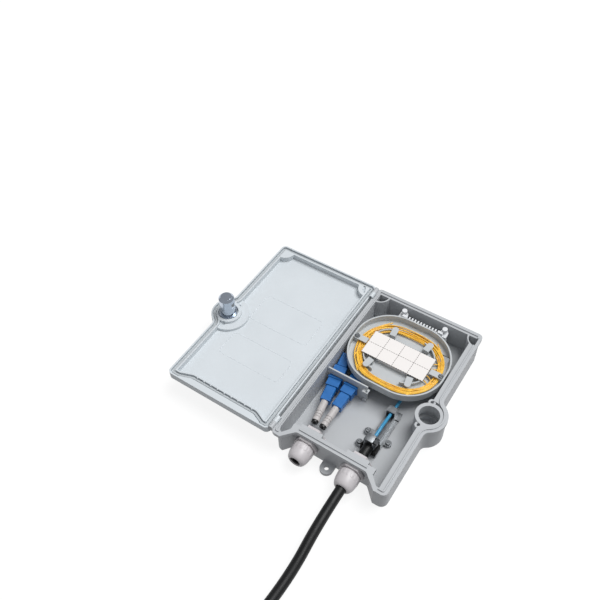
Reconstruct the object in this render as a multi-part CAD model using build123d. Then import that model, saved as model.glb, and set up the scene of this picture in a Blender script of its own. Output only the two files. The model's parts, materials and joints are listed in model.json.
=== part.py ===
"""Wall-mounted fibre termination box, open, with its splice tray, adapters, cable clamp, lock and feeder cable.

Frame: millimetres, origin at the middle of the back (wall) face, +X towards the lock, +Y away from the
cable glands, +Z out of the wall. The lid is modelled closed and then turned open about its hinge.
"""
from build123d import *
import math
import os

# ---- Driving dimensions -------------------------------------------------------------------------------
RIM_X = 60.0            # half width of the base's rim
RIM_Y = 102.5           # half length of the base's rim
RIM_Z = 30.0            # height of the rim plane over the back face
RIM_T = 4.0             # thickness of the rim flange
WALL = 2.5              # moulded wall
CORNER = 5.0            # corner radius of the rim
WALL_X0, WALL_X1 = -57.0, 59.5      # outer faces of the side walls
WALL_Y0, WALL_Y1 = -100.0, 98.0     # outer faces of the end walls
LEDGE_X = 51.0          # inner edge of the rim on the lock side
SHUT_GAP = 0.3          # between the two rim planes when the lid is shut

NOTCH_TOP = (-39.0, 34.0)           # ends of the recess for the glands, at its deep edge
NOTCH_MOUTH = (-50.0, 48.0)         # and at its mouth
NOTCH_RIM_Y = -90.5     # deep edge of the recess in the rim
NOTCH_WALL_Y = -88.5    # outer face of the recessed wall
NOTCH_BAND_Y = -83.5    # inner edge of the rim along the recess
LID_NOTCH_Y = -97.6     # the lid's seal runs nearer its edge there
SEAL_RIB = (3.0, 4.4)   # the base's rib and the lid's groove and seal, in from the rim's edge
SEAL_GROOVE = (1.6, 5.6)
SEAL_RING = (2.8, 4.6)
SEAL_TOP = 1.5          # the seal's top under the lid's face
POCKET_IN = 7.1         # edge of the lid's hollow, in from the rim's edge
WEB_X = (-35, 30)       # first and last of the small webs beside the seal at the gland end
WEB_COUNT, WEB_T = 9, 1.2
LID_SLOTS = ((-50.5, 91.0, 60), (-49.0, 95.0, 60))      # small slots in a far corner of the lid

LOBE_X, LOCK_X, LOCK_Y = 53.0, 55.0, -9.5
LOBE_R = 19.5           # round lobe of the rim about the lock
POST_R, POST_BORE_R = 13.5, 10.0    # round post that the lock barrel drops into
KEEPER_R = 12.0         # undercut that the tongue catches in
KEEPER_Z = (11.5, 20.0)
SIDE_POSTS = ((51.0, 4.7), (51.0, -23.7))   # small round posts beside the lock post

LID_H = 9.0             # rim plane to the top of the lid
LID_DEPTH = 6.0         # depth of its inner face
LID_PANEL = 1.0         # height of the raised panel outside
HINGE_X = -61.5
HINGE_Z = RIM_Z + SHUT_GAP / 2
KNUCKLE_R, PIN_R = 2.6, 1.2
KNUCKLE_L = 7.0
KNUCKLE_ENDS = (-93.0, 93.0)        # where a pair of knuckles meets, near and far
FACE_Z = RIM_Z + SHUT_GAP + LID_H - 2.9     # seat of the lock's flange at the bottom of the dish
BARREL_R, BARREL_Z = 8.0, RIM_Z - 23.5      # the barrel's radius and its lower end, shut
BARREL_BEVEL = 2.2
PLUG_R, PLUG_Z = 4.6, 21.0
TONGUE_Z = (13.0, 18.5)
KEY_HEAD_Z = FACE_Z + 3.5

GLAND_X = (-28.5, 20.5)
GLAND_Z = 15.0
GLAND_HOLE_R = 9.3      # PG11 clearance hole
CABLE_R = 5.0
GLAND_TIP_Y = -110.0
GLAND_BLOCK = (11.5, -79.5)         # half width and inner face of the thick wall about each gland
NECK_Y = -75.6          # inner end of the gland's threaded neck
LOCKNUT_Y = (-79.4, -75.8)
SEAL_NOSE_R, SEAL_NOSE_Y = 5.3, -108.8      # front of the rubber bung, seen in the gland's mouth
HEX_R = 12.4            # corner radius of the gland's hexagons
COLLAR_GROOVES = 12     # grip grooves round the dome nut
SPARE_BORE_R = 3.2

PANEL_Y, PANEL_T = -11.0, 1.5
PANEL_X = (-53.5, -9.0)
PORTS = ((-44.3, 9.0), (-26.5, 0.0))        # x where an adapter crosses the panel, its yaw in degrees
PORT_Z = 13.5
ADAPTER = (13.0, 25.0, 9.4)
SHELL = (9.0, 7.4)      # width and height of a plug's blue shell
PLUG_IN = 9.5           # how deep a plug sits in its adapter
PLUG_START = ADAPTER[1] / 2 - PLUG_IN + 0.3         # front of a plug, from the adapter's middle
BOOT_R = 3.7
BOOT_START = 29.6       # front of a boot, from the adapter's middle
BOOT_L, INNER_BOOT_L = 23.2, 10.0
FERRULE_R, FERRULE_L = 1.25, 10.4

TRAY_X = (-53.0, 49.0)
TRAY_Y = (-6.0, 83.0)
TRAY_Z = (19.5, 28.5)
TRAY_T = 1.6
TRAY_CORNER = 40.0
TRAY_SCREWS = ((-48.6, 37.0), (44.6, 37.0))
TRAY_TABS = ((-19, 57, 95), (18, 58, 80), (-23, 19.0, -100), (20, 19.5, -80))     # foot x, y, heading
PEGS = ((-23.0, 90.5), (23.0, 90.5))
CARD = (68.0, 30.0, 0.8)
CARD_AT = (-2.0, 37.5)

BRACKET_Y = (-62.0, -8.0)
BRACKET_X = (15.0, 29.0)
BRACKET_EARS = ((9.5, -41.0), (32.0, -43.0), (8.5, -56.0))
CLAMP_Y = -57.0
TUBE_R = 1.6
CLIP_Y = -14.0
PLATE_Z = (4.5, 5.7)    # the bracket's plate
TUBE_PATH = ((20.5, CLAMP_Y + 6, 15), (20.5, -36, 15), (20.5, CLIP_Y, 11.5), (22, 20, 11.5), (26, 48, 13.0))

EAR_X, EAR_Y, EAR_HOLE_R = -4.0, (-94.5, 105.5), 2.3

CORD_POINTS = ((20.5, -110, 15), (20.5, -148, 15), (23, -190, 8), (20, -235, 5.6), (15, -272, 5.7))
COIL_AT = (75.0, -300.0)
COIL_R = (46.6, 67.2)   # inner and outer radius of the flat coil
COIL_Z = (0.7, 10.7)
CAP_R, CAP_L = 5.9, 24.0
CAP_X = 35.0            # of the cap, from the coil's middle


def box(x, y, z):
    """A block from three (low, high) pairs."""
    size = [b - a for a, b in (x, y, z)]
    middle = [(a + b) / 2 for a, b in (x, y, z)]
    return Pos(*middle) * Box(*size)


def rod(x, y, z, r):
    """A round bar along Z from z[0] to z[1]."""
    return Pos(x, y, (z[0] + z[1]) / 2) * Cylinder(r, z[1] - z[0])


def bar_y(x, z, y, r):
    """A round bar along Y from y[0] to y[1]."""
    return Pos(x, (y[0] + y[1]) / 2, z) * Rot(90, 0, 0) * Cylinder(r, y[1] - y[0])


def slab(sketch, z0, z1):
    """A flat outline given thickness from z0 to z1."""
    return extrude(Pos(0, 0, z0) * sketch, z1 - z0, dir=(0, 0, 1))


def notch(y_deep, shrink):
    """The recess at the gland end, as a flat outline."""
    a, b = NOTCH_TOP
    c, d = NOTCH_MOUTH
    low = -RIM_Y - 20
    shape = make_face(Polyline(
        (c + shrink, low), (c + shrink, -RIM_Y), (a + shrink, y_deep), (b - shrink, y_deep),
        (d - shrink, -RIM_Y), (d - shrink, low), close=True))
    deep = [v for v in shape.vertices() if v.Y > low + 1]
    return fillet(deep, 4)


def outline(x0, x1, y0, y1, corner, lobe_r):
    """A rounded rectangle with the lock's lobe blended into its side."""
    body = Pos((x0 + x1) / 2, (y0 + y1) / 2) * RectangleRounded(x1 - x0, y1 - y0, corner)
    shape = body + Pos(LOBE_X, LOCK_Y) * Circle(lobe_r)
    half = math.sqrt(lobe_r ** 2 - (x1 - LOBE_X) ** 2)
    joins = [v for v in shape.vertices() if abs(v.X - x1) < 0.1 and abs(abs(v.Y - LOCK_Y) - half) < 0.1]
    return fillet(joins, 7)


def lid_outline():
    """The lid, which runs straight over the gland recess as a canopy."""
    return outline(-RIM_X, RIM_X, -RIM_Y, RIM_Y, CORNER, LOBE_R)


def rim_outline():
    """The rim with the gland recess."""
    return lid_outline() - notch(NOTCH_RIM_Y, 0)


def seal_outline():
    """The line that the lid's groove follows, with a shallower recess than the rim's."""
    return lid_outline() - notch(LID_NOTCH_Y, 0)


def band(shape, near, far):
    """The strip of a flat outline between two distances in from its edge."""
    return offset(shape, -near, kind=Kind.INTERSECTION) - offset(shape, -far, kind=Kind.INTERSECTION)


def wall_outline():
    """The outer faces of the base's walls."""
    return outline(WALL_X0, WALL_X1, WALL_Y0, WALL_Y1, 7, LOBE_R - 1) - notch(NOTCH_WALL_Y, -1.5)


def open_lid(shape):
    """Turn a piece of the shut lid to where it lies with the lid open."""
    return shape.rotate(Axis((HINGE_X, 0, HINGE_Z), (0, 1, 0)), 180)


def knuckle_spans(owner):
    """The (low, high) Y spans of the knuckles on the base or the lid."""
    spans = []
    for y in KNUCKLE_ENDS:
        outer = y + math.copysign(KNUCKLE_L, y)
        pair = (min(y, outer), max(y, outer)) if owner == "base" else (
            min(y, 2 * y - outer), max(y, 2 * y - outer))
        spans.append(pair)
    return spans


def base_shell():
    """Tub with its rim flange, rib, lock post, gland wall, corner pockets, tray posts and wall ears."""
    shell = slab(wall_outline(), 0, RIM_Z - 1)
    shell += slab(rim_outline(), RIM_Z - RIM_T, RIM_Z)
    inner = offset(wall_outline(), -WALL, kind=Kind.INTERSECTION)
    shell -= slab(inner, WALL, RIM_Z - RIM_T)
    mouth = inner & Pos((WALL_X0 + LEDGE_X) / 2, 0) * Rectangle(LEDGE_X - WALL_X0, 2 * RIM_Y)
    mouth -= Pos((NOTCH_TOP[0] + NOTCH_TOP[1]) / 2, NOTCH_BAND_Y - 10) * Rectangle(
        NOTCH_TOP[1] - NOTCH_TOP[0] + 13, 20)
    crescent = Pos(LOBE_X, LOCK_Y) * Circle(LOBE_R - 3.5) - Pos(LOCK_X, LOCK_Y) * Circle(POST_R)
    crescent &= Pos(LOCK_X, LOCK_Y + 12) * Rectangle(60, 20)
    shell -= slab(mouth + crescent, RIM_Z - RIM_T - 0.5, RIM_Z + 1)
    half, inside = GLAND_BLOCK
    for x in GLAND_X:
        shell += box((x - half, x + half), (NOTCH_WALL_Y, inside), (1, RIM_Z - 1.2))
    rib = band(rim_outline(), *SEAL_RIB)
    for x0, x1 in ((NOTCH_MOUTH[0] - 3, NOTCH_TOP[0] + 1), (NOTCH_TOP[1] - 1, NOTCH_MOUTH[1] + 3)):
        rib -= Pos((x0 + x1) / 2, -RIM_Y) * Rectangle(x1 - x0, 36)
    shell += slab(rib, RIM_Z - 0.5, RIM_Z + 1.2)
    shell += rod(LOCK_X, LOCK_Y, (1, RIM_Z), POST_R)
    for x, y in SIDE_POSTS:
        shell += rod(x, y, (1, RIM_Z - 0.6), 3.6)
    shell -= rod(LOCK_X, LOCK_Y, (4, RIM_Z + 5), POST_BORE_R)
    shell -= rod(LOCK_X, LOCK_Y, KEEPER_Z, KEEPER_R)
    for x, y in SIDE_POSTS:
        shell -= rod(x, y, (16, RIM_Z + 1), 1.6)
    pillars, hollows = corner_pockets()
    shell = shell + pillars - hollows
    for x, y in TRAY_SCREWS:
        shell += rod(x, y, (1, TRAY_Z[0]), 3.6) - rod(x, y, (9, TRAY_Z[0] + 1), 1.25)
    for x, y in PEGS:
        shell += rod(x, y, (1, 12), 3.8) - rod(x, y, (5, 13), 2.0)
    for x, y in BRACKET_EARS:
        shell += rod(x, y, (1, 4.5), 3.4) - rod(x, y, (1.5, 5), 1.1)
    shell += panel_slots()
    for end in (-1, 1):
        shell += wall_ear(end)
    for x in GLAND_X:
        shell -= bar_y(x, GLAND_Z, (NOTCH_WALL_Y - 3, -76), GLAND_HOLE_R)
    return with_knuckles(shell, "base")


def corner_pockets():
    """Quarter-round pillars in the two far corners, and the hollows that open at their tops."""
    pillars, hollows = [], []
    y = WALL_Y1 - 1
    for x, side in ((WALL_X0 + 1, 1), (WALL_X1 - 1, -1)):
        quarter = box(tuple(sorted((x, x + side * 13))), (y - 13, y), (1, RIM_Z))
        pillars.append(rod(x, y, (1, RIM_Z), 13.0) & quarter)
        inset = x + side * 1.5
        hollow = rod(inset, y - 1.5, (8, RIM_Z + 2), 9.6)
        hollows.append(hollow & box(tuple(sorted((inset, inset + side * 10.5))), (y - 12, y - 1.5), (8, RIM_Z + 2)))
    return pillars[0] + pillars[1], hollows[0] + hollows[1]


def panel_slots():
    """Two slotted lugs on the floor that the adapter panel drops into, and the lug it is screwed to."""
    lugs = None
    for x in (PANEL_X[0] + 2, (PANEL_X[0] + PANEL_X[1]) / 2, PANEL_X[1] - 2):
        lug = box((x - 2, x + 2), (PANEL_Y - 2.6, PANEL_Y + 2.6), (1, 6))
        lug -= box((x - 3, x + 3), (PANEL_Y - PANEL_T / 2, PANEL_Y + PANEL_T / 2), (WALL, 7))
        lugs = lug if lugs is None else lugs + lug
    return lugs


def wall_ear(end):
    """A flat ear with a hole for a wall screw, at one end."""
    root = NOTCH_WALL_Y + 1 if end < 0 else WALL_Y1 - 1
    y = EAR_Y[0] if end < 0 else EAR_Y[1]
    ear = rod(EAR_X, y, (0, 3.5), 6.5) + box((EAR_X - 6.5, EAR_X + 6.5), tuple(sorted((root, y))), (0, 3.5))
    return ear - rod(EAR_X, y, (-1, 5), EAR_HOLE_R)


def with_knuckles(shell, owner):
    """Add the hinge knuckles of the base or of the shut lid, and make room for the other's."""
    z = (RIM_Z - RIM_T, HINGE_Z) if owner == "base" else (HINGE_Z, HINGE_Z + 4.5)
    other = "lid" if owner == "base" else "base"
    for span in knuckle_spans(other):
        grown = (span[0] - 0.3, span[1] + 0.3)
        shell -= bar_y(HINGE_X, HINGE_Z, grown, KNUCKLE_R + 0.4)
    for span in knuckle_spans(owner):
        web = box((HINGE_X, -RIM_X + 1.5), span, z)
        shell += bar_y(HINGE_X, HINGE_Z, span, KNUCKLE_R) + web
        bore = PIN_R if owner == "base" else PIN_R + 0.06
        shell -= bar_y(HINGE_X, HINGE_Z, (span[0] - 1, span[1] + 1), bore)
    return shell


def hinge_pin(y):
    """Steel pin through one pair of knuckles."""
    return bar_y(HINGE_X, HINGE_Z, (y - KNUCKLE_L + 0.2, y + KNUCKLE_L - 0.2), PIN_R)


def lid_shell():
    """Shut lid: raised outer panel with a dish about the lock, grooved rim, and the lock's boss inside."""
    z0 = RIM_Z + SHUT_GAP
    z1 = z0 + LID_H - LID_PANEL
    lid = slab(lid_outline(), z0, z1)
    panel = slab(offset(lid_outline(), -3.0), z1 - 0.5, z1 + LID_PANEL)
    lid += chamfer(panel.edges().group_by(Axis.Z)[-1], 0.9)
    inner = offset(seal_outline(), -POCKET_IN, kind=Kind.INTERSECTION)
    corner = Circle(12)
    for x in (-RIM_X + 6, RIM_X - 6):
        inner -= Pos(x, RIM_Y - 6) * corner
    lid -= slab(inner, z0 - 1, z0 + LID_DEPTH)
    lid += rod(LOCK_X, LOCK_Y, (z0 + 3, z1), 22.0) & slab(offset(lid_outline(), -1), z0, z1)
    lid += rod(LOCK_X, LOCK_Y, (z0, z0 + 4), 14.0)
    lid -= rod(LOCK_X, LOCK_Y, (z0 - 1, z0 + 3), 10.6)
    groove = band(seal_outline(), *SEAL_GROOVE)
    for i in range(WEB_COUNT):
        x = WEB_X[0] + i * (WEB_X[1] - WEB_X[0]) / (WEB_COUNT - 1)
        groove -= Pos(x, LID_NOTCH_Y + SEAL_RING[1] + 1.1) * Rectangle(WEB_T, 2.0)
    lid -= slab(groove, z0 - 1, z0 + 3)
    for x, y, turn in LID_SLOTS:
        lid -= slab(Pos(x, y) * Rot(0, 0, turn) * SlotOverall(6.0, 2.4), z0 - 1, z0 + 2.5)
    lid -= Pos(LOCK_X - 1.5, LOCK_Y, z1 + LID_PANEL - 1.4) * Cone(12.0, 16.5, 3.0)
    lid -= rod(LOCK_X, LOCK_Y, (z0 - 1, z1 + 2), BARREL_R + 0.1)
    for x, y in SIDE_POSTS:
        lid -= rod(x, y, (z0 - 1, z0 + 4), 1.6)
    return with_knuckles(lid, "lid")


def lid_gasket():
    """Rubber seal along the bottom of the lid's groove, beside the webs."""
    z0 = RIM_Z + SHUT_GAP
    return slab(band(seal_outline(), *SEAL_RING), z0 + SEAL_TOP + 0.15, z0 + 3)


def lock_barrel():
    """Chromed barrel with its flange, plug bore and tongue slot, in the shut lid."""
    barrel = rod(LOCK_X, LOCK_Y, (BARREL_Z, FACE_Z + 0.5), BARREL_R)
    rim = barrel.edges().filter_by(GeomType.CIRCLE).sort_by(Axis.Z)[0]
    barrel = chamfer(rim, BARREL_BEVEL)
    flange = rod(LOCK_X, LOCK_Y, (FACE_Z, FACE_Z + 1.6), 10.5)
    barrel += chamfer(flange.edges().filter_by(GeomType.CIRCLE).sort_by(Axis.Z)[-1], 0.5)
    barrel -= rod(LOCK_X, LOCK_Y, (PLUG_Z, FACE_Z + 2), PLUG_R + 0.06)
    return barrel - box((LOCK_X - 9, LOCK_X + 1), (LOCK_Y - 2.1, LOCK_Y + 2.1),
                        (TONGUE_Z[0] - 0.1, TONGUE_Z[1] + 0.1))


def lock_nut():
    """Hexagon nut that holds the barrel in the lid, inside the ring boss."""
    z = RIM_Z + SHUT_GAP + 0.4
    nut = slab(Pos(LOCK_X, LOCK_Y) * RegularPolygon(10.2, 6), z, z + 2.6)
    return nut - rod(LOCK_X, LOCK_Y, (z - 1, z + 4), BARREL_R)


def lock_plug():
    """Turning plug with its keyway."""
    plug = rod(LOCK_X, LOCK_Y, (PLUG_Z + 0.1, FACE_Z + 1.3), PLUG_R)
    return plug - box((LOCK_X - 1.1, LOCK_X + 1.1), (LOCK_Y - 3.4, LOCK_Y + 3.4), (PLUG_Z + 2, FACE_Z + 3))


def lock_tongue():
    """Bolt that the plug throws out of the barrel into the post's undercut."""
    return box((LOCK_X - 7.6, LOCK_X + 0.9), (LOCK_Y - 2, LOCK_Y + 2), TONGUE_Z)


def key_blade():
    """Flat steel blade of the key, with its notches."""
    blade = box((LOCK_X - 1, LOCK_X + 1), (LOCK_Y - 3.2, LOCK_Y + 3.2), (PLUG_Z + 3, KEY_HEAD_Z + 6))
    for i, depth in enumerate((1.2, 0.7, 1.5, 0.9)):
        z = PLUG_Z + 5 + 2.6 * i
        blade -= box((LOCK_X - 2, LOCK_X + 2), (LOCK_Y + 3.2 - depth, LOCK_Y + 4), (z, z + 1.2))
    return blade


def key_head():
    """Black moulded head of the key with its ring hole."""
    head = extrude(Plane.YZ.offset(LOCK_X - 2.4) * Pos(LOCK_Y, KEY_HEAD_Z + 8.5) * RectangleRounded(20, 17, 6),
                   4.8)
    head -= Pos(LOCK_X, LOCK_Y, KEY_HEAD_Z + 13) * Rot(0, 90, 0) * Cylinder(2.0, 10)
    return head - box((LOCK_X - 1, LOCK_X + 1), (LOCK_Y - 3.2, LOCK_Y + 3.2), (PLUG_Z, KEY_HEAD_Z + 6))


def gland_body(x):
    """Nylon gland body: hexagon outside the wall and threaded neck through it."""
    bore = CABLE_R + 2.6
    body = bar_y(x, GLAND_Z, (-93.5, NECK_Y), GLAND_HOLE_R - 0.15)
    hexagon = Pos(x, -91.5, GLAND_Z) * Rot(90, 0, 0) * extrude(RegularPolygon(HEX_R, 6), 3.5 / 2, both=True)
    body += Pos(0, 0.6, 0) * hexagon
    body += bar_y(x, GLAND_Z, (-101, -93), 8.2)
    return body - bar_y(x, GLAND_Z, (-102, -73), bore)


def gland_nut(x):
    """Dome nut that squeezes the seal on the cable."""
    dome = revolve(
        Plane.XY * make_face(Polyline(
            (5.4, GLAND_TIP_Y), (7.2, GLAND_TIP_Y), (9.4, GLAND_TIP_Y + 2.6), (10.6, GLAND_TIP_Y + 7),
            (11.0, GLAND_TIP_Y + 10), (11.0, -93.6), (8.35, -93.6), (8.35, GLAND_TIP_Y + 8),
            (5.4, GLAND_TIP_Y + 3), close=True)),
        Axis.Y)
    dome = Pos(x, 0, GLAND_Z) * dome
    groove = Rot(90, 0, 0) * Cylinder(1.1, 7)
    for i in range(COLLAR_GROOVES):
        turn = 2 * math.pi * i / COLLAR_GROOVES
        dome -= Pos(x + 11.6 * math.cos(turn), -97.3, GLAND_Z + 11.6 * math.sin(turn)) * groove
    return dome


def gland_seal(x, r_hole):
    """Rubber bung between the gland body and the cable."""
    bung = bar_y(x, GLAND_Z, (-103.0, -88.0), 7.3) + bar_y(x, GLAND_Z, (SEAL_NOSE_Y, -102), SEAL_NOSE_R)
    return bung - bar_y(x, GLAND_Z, (SEAL_NOSE_Y - 1, -87), r_hole)


def gland_locknut(x):
    """Hexagon locknut inside the wall."""
    low, high = LOCKNUT_Y
    nut = Pos(x, (low + high) / 2, GLAND_Z) * Rot(90, 0, 0) * extrude(
        RegularPolygon(HEX_R, 6), (high - low) / 2, both=True)
    return nut - bar_y(x, GLAND_Z, (low - 1, high + 1), GLAND_HOLE_R - 0.15)


def adapter_panel():
    """Upright plate that carries the two adapters, with a rounded end and a hooked tab."""
    x0, x1 = PANEL_X
    panel = box((x0, x1), (PANEL_Y - PANEL_T / 2, PANEL_Y + PANEL_T / 2), (WALL, 26.5))
    panel += box((x1 - 4, x1 + 2), (PANEL_Y - 4.5, PANEL_Y + PANEL_T / 2), (20.5, 22.0))
    for x, yaw in PORTS:
        panel -= Pos(x, PANEL_Y, PORT_Z) * Rot(0, 0, yaw) * Box(ADAPTER[0] + 0.4, 8, ADAPTER[2] + 0.4)
    return panel - Pos(x1, PANEL_Y - 2.6, 21) * Cylinder(1.2, 6)


def port(shape, index):
    """Move a piece built along Y about the origin into one of the panel's ports."""
    x, yaw = PORTS[index]
    return Pos(x, PANEL_Y, PORT_Z) * Rot(0, 0, yaw) * shape


def sc_adapter(index):
    """Square adapter with a cavity at each end, a collar against the panel and a sleeve in its middle wall."""
    w, l, h = ADAPTER
    body = Box(w, l, h) + Pos(0, -PANEL_T / 2 - 2.3, 0) * Box(w + 2, 1.6, h + 2)
    for end in (-1, 1):
        body -= Pos(0, end * (l / 2 - PLUG_IN / 2), 0) * Box(SHELL[0] + 0.5, PLUG_IN + 0.01, SHELL[1] + 0.5)
    body -= Rot(90, 0, 0) * Cylinder(1.6, l)
    return port(body, index)


def sc_plug(index, end):
    """Blue plug shell, outer (end -1) or inner (end +1), with a stepped grip."""
    w, h = SHELL
    front = Pos(0, end * (PLUG_START + 9), 0) * Box(w, 18, h)
    grip = Pos(0, end * (ADAPTER[1] / 2 + 1 + 8), 0) * Box(w + 1.6, 16, h + 1.0)
    shell = front + chamfer(grip.edges().filter_by(Axis.Y), 0.8)
    for i in range(4):
        for side in (-1, 1):
            shell -= Pos(side * (w / 2 + 0.9), end * (ADAPTER[1] / 2 + 5 + 2.4 * i), 0) * Box(0.7, 1.0, h + 2)
    shell -= Pos(0, end * PLUG_START, 0) * Rot(90, 0, 0) * Cylinder(FERRULE_R, 16)
    return port(shell, index)


def sc_ferrule(index, end):
    """Ceramic ferrule in the front of a plug."""
    middle = PLUG_START + 8 - FERRULE_L / 2
    return port(Pos(0, end * middle, 0) * Rot(90, 0, 0) * Cylinder(FERRULE_R, FERRULE_L), index)


def sc_boot(index, end, length):
    """Round body behind the plug's shell, tapering a little, with shallow ribs."""
    y0 = BOOT_START
    boot = Pos(0, end * (y0 + length / 2), 0) * Rot(90, 0, 0) * Cylinder(BOOT_R, length)
    for i in range(3):
        y = y0 + length - 4 - 3 * i
        ring = Rot(90, 0, 0) * (Cylinder(BOOT_R + 1, 0.8) - Cylinder(BOOT_R - 0.4, 0.8))
        boot -= Pos(0, end * y, 0) * ring
    return port(boot, index)


def boot_tail(index, end, length):
    """Black end ring of a boot."""
    ring = Rot(90, 0, 0) * (Cylinder(BOOT_R - 0.3, 2.2) - Cylinder(1.6, 3))
    return port(Pos(0, end * (BOOT_START + length + 1.1), 0) * ring, index)


def tray_outline(inset):
    """The tray's rounded outline, drawn in by inset."""
    x, y = TRAY_X, TRAY_Y
    return Pos((x[0] + x[1]) / 2, (y[0] + y[1]) / 2) * RectangleRounded(
        x[1] - x[0] - 2 * inset, y[1] - y[0] - 2 * inset, TRAY_CORNER - inset)


def splice_tray():
    """Shallow tray with a rim, six finger tabs over the fibre path, a splice bed and two screw bosses."""
    z0, z1 = TRAY_Z
    tray = slab(tray_outline(0), z0, z1) - slab(tray_outline(TRAY_T), z0 + TRAY_T, z1 + 1)
    inner = tray_outline(16) - tray_outline(17.2)
    gaps = Rectangle(30, 200) + Rectangle(200, 30)
    tray += slab(inner - Pos((TRAY_X[0] + TRAY_X[1]) / 2, (TRAY_Y[0] + TRAY_Y[1]) / 2) * gaps, z0 + 1, z1 - 2.6)
    tab = Pos(3.25, 0) * Rectangle(8.5, 6.5) + Pos(7.5, 0) * Circle(3.25)
    for x, y, heading in TRAY_TABS:
        place = Pos(x, y) * Rot(0, 0, heading)
        tray += slab(place * tab, z1 - 2.6, z1 - 1.4)
        tray += slab(place * Rectangle(2, 6.5), z0 + 1, z1 - 1.4)
    for x, y in TRAY_SCREWS:
        tray += rod(x, y, (z0, z1 - 1.4), 3.4)
        bridge = (x, x + math.copysign(11.6, -x))
        tray += box((min(bridge), max(bridge)), (y - 3.3, y + 3.3), (z1 - 2.6, z1 - 1.4))
    for x, y in TRAY_SCREWS:
        tray -= rod(x, y, (z0 - 1, z1), 1.6)
    return tray - box((30, 42), (55, 66), (z0 - 1, z0 + TRAY_T + 1))


def splice_holder():
    """Comb block that grips the splice sleeves, in the middle of the tray."""
    z0 = TRAY_Z[0] + TRAY_T
    x, y = CARD_AT
    block = Pos(x, y, z0 + 2.6) * Box(34, 27, 5.2)
    for i in range(4):
        block -= Pos(x, y - 9.6 + 6.4 * i, z0 + 3.2) * Box(40, 4.2, 4.2)
    return block


def splice_sleeves():
    """Heat-shrink splice sleeves lying in the holder's slots."""
    z0 = TRAY_Z[0] + TRAY_T
    x, y = CARD_AT
    return Compound([
        Pos(x, y - 9.6 + 6.4 * i, z0 + 2.8) * Rot(0, 90, 0) * Cylinder(1.55, 45) for i in range(4)])


def label_card():
    """Plain card over the splices."""
    x, y = CARD_AT
    z = TRAY_Z[0] + TRAY_T + 5.2
    return Pos(x, y, z + CARD[2] / 2) * Box(*CARD)


def screws(places, z_seat, length, r_head, r_shank, head_h=1.6):
    """A group of identical pan-head screws that stand in the base."""
    group = []
    for x, y in places:
        screw = rod(x, y, (z_seat, z_seat + head_h), r_head) + rod(x, y, (z_seat - length, z_seat + 0.2), r_shank)
        top = screw.edges().filter_by(GeomType.CIRCLE).sort_by(Axis.Z)[-1]
        screw = chamfer(top, 0.4)
        screw -= Pos(x, y, z_seat + head_h) * (Box(3.2, 0.7, 1.2) + Box(0.7, 3.2, 1.2))
        group.append(screw)
    return Compound(group)


def tray_pegs():
    """Two white pegs pushed into the base beyond the tray."""
    group = []
    for x, y in PEGS:
        group.append(rod(x, y, (5, 27.5), 2.0) + rod(x, y, (26, 29), 2.7) + rod(x, y, (12, 13.5), 3.4))
    return Compound(group)


def cable_comb():
    """Slotted strip between the pegs that fans the fibres out."""
    (xa, y), (xb, _) = PEGS
    strip = box((xa, xb), (y - 6.0, y - 3.0), (20, 26.5))
    for x in (xa, xb):
        strip += rod(x, y, (20, 23), 4.2) + box((x - 4.2, x + 4.2), (y - 6.0, y), (20, 23))
    for x in (xa, xb):
        strip -= rod(x, y, (19, 24), 2.0)
    for i in range(11):
        strip -= box((-17.4 + 3.3 * i, -15.6 + 3.3 * i), (y - 7, y - 2), (22.5, 28))
    return strip


def fibre_coil(inset, width, z):
    """Bundle of spare fibre laid round the tray, as one closed band."""
    ring = tray_outline(inset) - tray_outline(inset + width)
    return slab(ring, *z)


def cable_bracket():
    """Zinc-plated plate on the floor with three screw ears and an upright at its far end."""
    z0, z1 = PLATE_Z
    plate = box(BRACKET_X, BRACKET_Y, PLATE_Z)
    for x, y in BRACKET_EARS:
        reach = box(tuple(sorted((x, 22.0))), (y - 3.4, y + 3.4), (z0, z1))
        plate += reach + rod(x, y, (z0, z1), 3.6)
    for x, y in BRACKET_EARS:
        plate -= rod(x, y, (z0 - 1, z1 + 1), 1.3)
    rail = (BRACKET_Y[0] + 14, CLIP_Y - 4.5)
    plate += box((24.5, 29.0), rail, (z0, z1 + 5))
    return plate - box((25.7, 30.0), (rail[0] - 1, rail[1] + 1), (z1, z1 + 6))


def clamp_saddle():
    """Black rubber block between the bracket and the cable."""
    x = GLAND_X[1]
    block = box((x - 8, x + 8), (CLAMP_Y - 5, CLAMP_Y + 5), (PLATE_Z[1], 13.0))
    block -= box((x - 6.8, x + 6.8), (CLAMP_Y - 4.3, CLAMP_Y + 4.3), (8.0, 14))
    return block - bar_y(x, GLAND_Z, (CLAMP_Y - 6, CLAMP_Y + 6), CABLE_R + 0.95)


def clamp_band():
    """Worm-drive hose clamp round the end of the cable, with its screw housing on top."""
    x = GLAND_X[1]
    band = bar_y(x, GLAND_Z, (CLAMP_Y - 4, CLAMP_Y + 4), CABLE_R + 0.9)
    band -= bar_y(x, GLAND_Z, (CLAMP_Y - 5, CLAMP_Y + 5), CABLE_R)
    house = box((x - 5.5, x + 3.5), (CLAMP_Y - 4.2, CLAMP_Y + 4.2), (GLAND_Z + CABLE_R + 0.3, GLAND_Z + 11))
    house -= Pos(x, CLAMP_Y, GLAND_Z + 8.3) * Rot(0, 90, 0) * Cylinder(2.4, 40)
    return band + house


def clamp_screw():
    """Worm screw of the hose clamp with a slotted hexagon head."""
    x = GLAND_X[1]
    z = GLAND_Z + 8.3
    screw = Pos(x - 0.5, CLAMP_Y, z) * Rot(0, 90, 0) * Cylinder(2.0, 10)
    head = Pos(x + 4.4, CLAMP_Y, z) * Rot(0, 90, 0) * extrude(RegularPolygon(3.6, 6), 3.2)
    head -= Pos(x + 8, CLAMP_Y, z) * Box(1.6, 0.9, 9)
    return screw + head


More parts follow.
